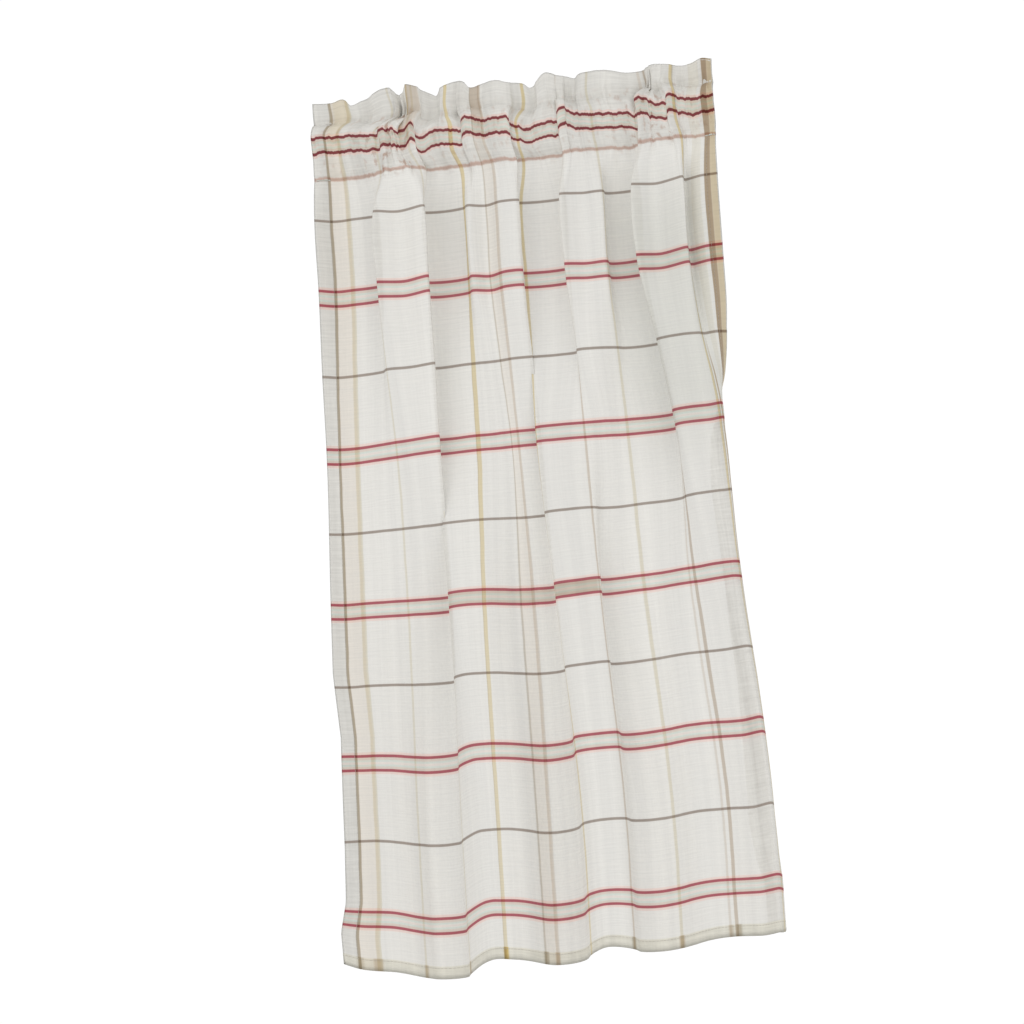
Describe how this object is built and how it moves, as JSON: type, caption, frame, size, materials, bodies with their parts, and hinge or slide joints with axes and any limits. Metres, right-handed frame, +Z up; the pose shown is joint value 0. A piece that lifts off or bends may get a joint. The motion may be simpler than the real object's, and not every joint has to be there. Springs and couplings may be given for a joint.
{
  "type": "cafe curtain",
  "caption": "Semi-sheer plaid cafe curtain with a gathered rod-pocket heading and a stand-up ruffle, hanging in soft uneven folds to a narrow hem",
  "frame": {"origin": "on the axis of the rod that the pocket is made for, halfway along the curtain", "axes": "+X along the rod to the viewer's right, -Y towards the room, +Z up"},
  "size_m": [0.4494, 0.0727, 0.9261],
  "materials": {
    "heading_cloth": "slubbed plain weave, semi-sheer, plaid, two layers",
    "plaid_cloth": "slubbed plain weave, semi-sheer, plaid"
  },
  "bodies": {
    "root": {"heading": "heading_cloth", "panel": "plaid_cloth"}
  },
  "joints": []
}
